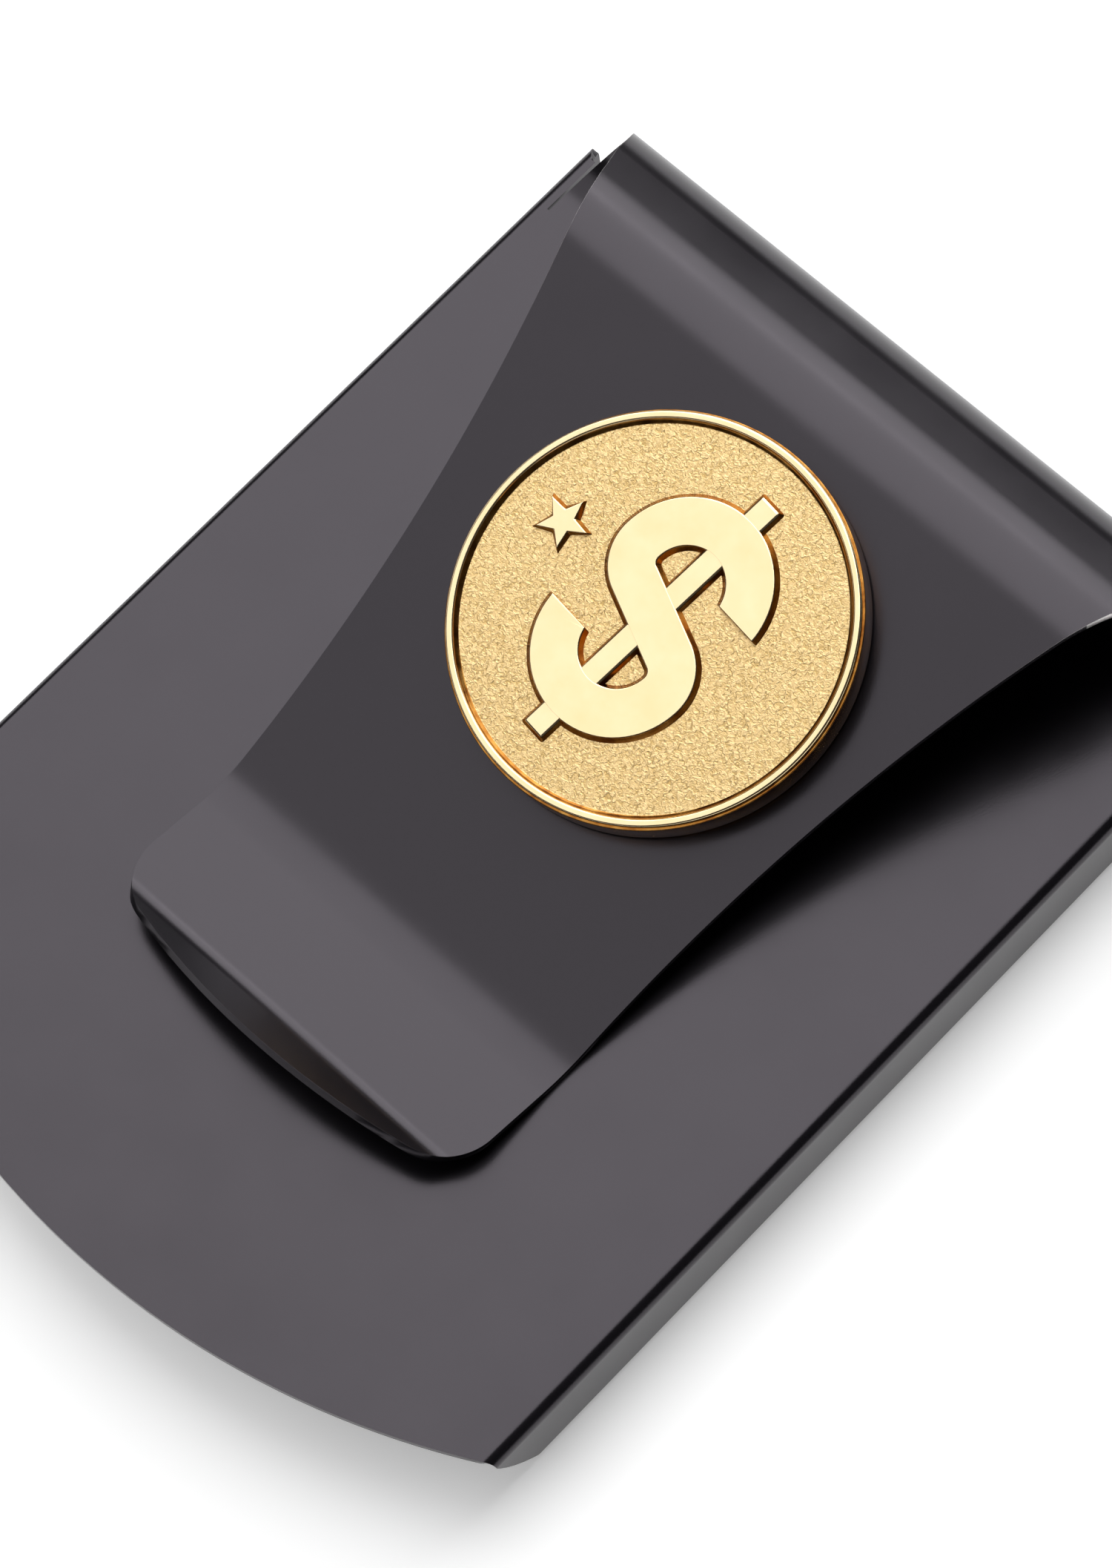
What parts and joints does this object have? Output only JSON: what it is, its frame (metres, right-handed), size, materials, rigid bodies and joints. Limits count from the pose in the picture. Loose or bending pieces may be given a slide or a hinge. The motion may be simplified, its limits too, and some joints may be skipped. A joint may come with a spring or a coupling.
{
  "type": "money clip",
  "caption": "Folded sheet-metal money clip with a card channel behind, a sprung arm that pinches banknotes and a round gold medallion on the arm.",
  "frame": {"origin": "on the surface the clip rests on, below the middle of the clip's length and width", "axes": "+X across the clip, +Y from the plate's rounded end towards the fold, +Z from the lips' undersides towards the arm"},
  "size_m": [0.0556, 0.0745, 0.0186],
  "materials": {
    "black_steel": "satin black coating on spring steel",
    "gold": "gold-plated brass, polished relief on a frosted field",
    "adhesive": "acrylic bonding film"
  },
  "bodies": {
    "plate": {"back_plate": "black_steel", "spring_fold": "black_steel"},
    "arm": {"clip_arm": "black_steel", "adhesive_disc": "adhesive", "medallion": "gold"}
  },
  "joints": [
    {"name": "arm_spring", "type": "hinge", "parent": "plate", "child": "arm", "pos_m": [0, 0.0325, 0.01035], "axis": [-1, 0, 0], "range_deg": [0, 12], "stiffness_Nm_per_rad": 2.74, "springref_deg": -1.63, "deforming": ["spring_fold"]}
  ]
}
